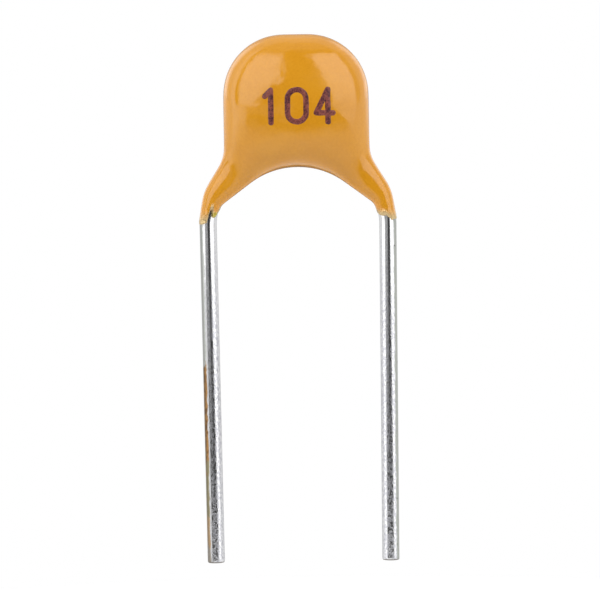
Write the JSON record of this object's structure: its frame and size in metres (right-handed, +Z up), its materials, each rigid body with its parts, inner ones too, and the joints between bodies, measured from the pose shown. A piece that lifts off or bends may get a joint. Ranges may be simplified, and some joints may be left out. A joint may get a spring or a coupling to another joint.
{
  "type": "ceramic capacitor",
  "caption": "Dipped radial ceramic capacitor: a rounded glossy epoxy body with an arched underside, on straight tinned wire leads for a through-hole board.",
  "frame": {"origin": "midway between the leads, in the board's top plane, where the coat stops on the leads", "axes": "+X from the left lead to the right lead, +Y from the marked front to the back, +Z up from the board through the body"},
  "size_m": [0.0056, 0.0024, 0.0149],
  "materials": {
    "epoxy": "gloss",
    "ceramic": "matte",
    "electrode": "satin",
    "termination": "satin",
    "solder": "satin",
    "tinned_wire": "satin"
  },
  "bodies": {
    "root": {"epoxy_coating": "epoxy", "ceramic_chip": "ceramic", "left_electrodes": "electrode", "right_electrodes": "electrode", "left_termination": "termination", "right_termination": "termination", "left_solder": "solder", "right_solder": "solder", "left_lead": "tinned_wire", "right_lead": "tinned_wire"}
  },
  "joints": []
}
